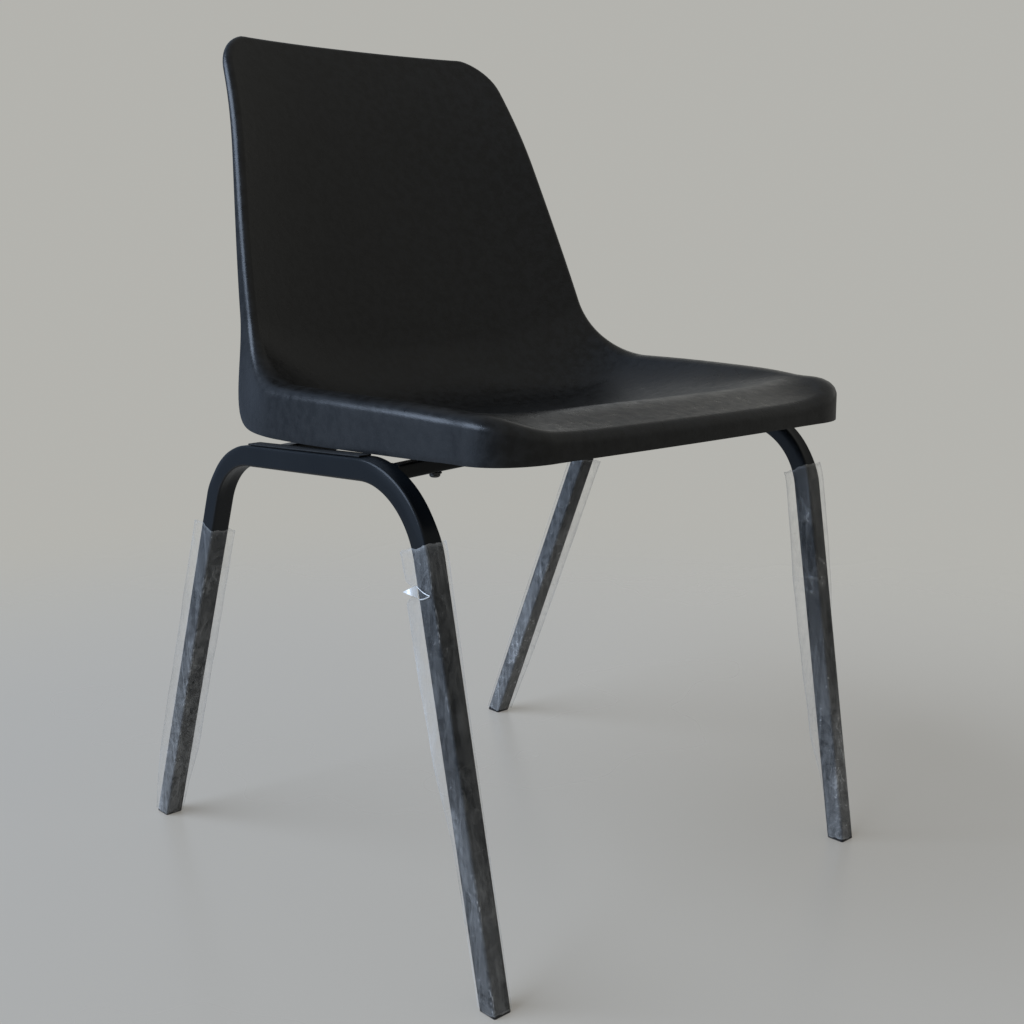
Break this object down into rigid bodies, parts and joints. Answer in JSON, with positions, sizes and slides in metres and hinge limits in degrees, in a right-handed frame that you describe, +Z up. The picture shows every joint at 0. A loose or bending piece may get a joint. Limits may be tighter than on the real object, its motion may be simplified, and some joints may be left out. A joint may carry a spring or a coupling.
{
  "type": "school chair",
  "caption": "School chair with a one-piece black plastic bucket shell screwed to a frame of bent square steel tube, its legs still in clear film.",
  "frame": {"origin": "on the floor, under the middle of the footprint", "axes": "+Z up; the sitter faces -Y and has the left hand at +X"},
  "size_m": [0.5354, 0.5718, 0.8108],
  "materials": {
    "shell": "fine-grained moulded polypropylene",
    "frame": "satin powder coat",
    "foot": "moulded",
    "pad": "matte strip",
    "zinc": "bright zinc plate",
    "film": "clear crinkled film"
  },
  "bodies": {
    "root": {"seat_shell": "shell", "side_frame_right": "frame", "side_frame_left": "frame", "cross_rail_front": "frame", "cross_rail_rear": "frame", "rail_pad_right": "pad", "rail_pad_left": "pad", "seat_screw_front_right": "zinc", "seat_washer_front_right": "zinc", "foot_front_right": "foot", "leg_sleeve_front_right": "film", "seat_screw_front_left": "zinc", "seat_washer_front_left": "zinc", "foot_front_left": "foot", "leg_sleeve_front_left": "film", "seat_screw_rear_right": "zinc", "seat_washer_rear_right": "zinc", "foot_rear_right": "foot", "leg_sleeve_rear_right": "film", "seat_screw_rear_left": "zinc", "seat_washer_rear_left": "zinc", "foot_rear_left": "foot", "leg_sleeve_rear_left": "film"}
  },
  "joints": []
}
